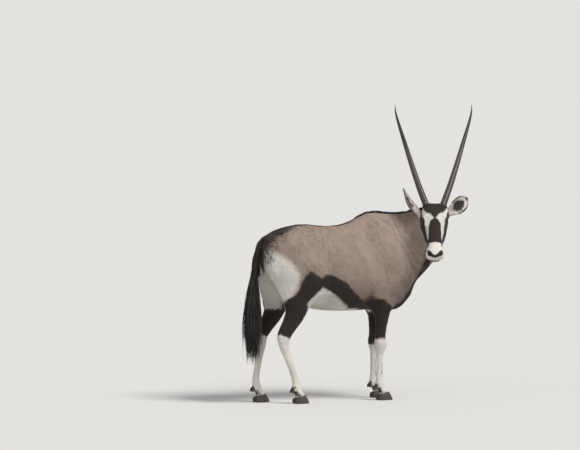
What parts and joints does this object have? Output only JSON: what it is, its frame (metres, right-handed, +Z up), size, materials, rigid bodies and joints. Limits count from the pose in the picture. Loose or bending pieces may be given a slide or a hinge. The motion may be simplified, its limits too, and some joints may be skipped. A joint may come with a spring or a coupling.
{
  "type": "gemsbok",
  "caption": "Standing gemsbok, a long-horned antelope with a masked face and tufted tail, turning its head over its shoulder, as a still life-size display model.",
  "frame": {"origin": "on the floor under the middle of the animal's bounding box", "axes": "+X ahead along the trunk, +Y to the animal's left, +Z up"},
  "size_m": [1.706, 0.7839, 1.87],
  "materials": {
    "coat": "short flat fur, grey-fawn",
    "face": "short fur, white with black mask",
    "leg": "short fur, black above, white below",
    "ear": "thin fur with a dark rim",
    "hair": "long black hair",
    "horn": "ringed dark horn, smooth towards the tip",
    "hoof": "dull dark horn",
    "eye": "wet, very dark brown"
  },
  "bodies": {
    "root": {"torso": "coat", "neck": "coat", "head": "face", "ear_left": "ear", "ear_right": "ear", "horn_left": "horn", "horn_right": "horn", "eye_left": "eye", "eye_right": "eye", "tail": "hair", "foreleg_right": "leg", "hoof_fore_right_outer": "hoof", "hoof_fore_right_inner": "hoof", "hindleg_right": "leg", "hoof_hind_right_outer": "hoof", "hoof_hind_right_inner": "hoof", "foreleg_left": "leg", "hoof_fore_left_outer": "hoof", "hoof_fore_left_inner": "hoof", "hindleg_left": "leg", "hoof_hind_left_outer": "hoof", "hoof_hind_left_inner": "hoof"}
  },
  "joints": []
}
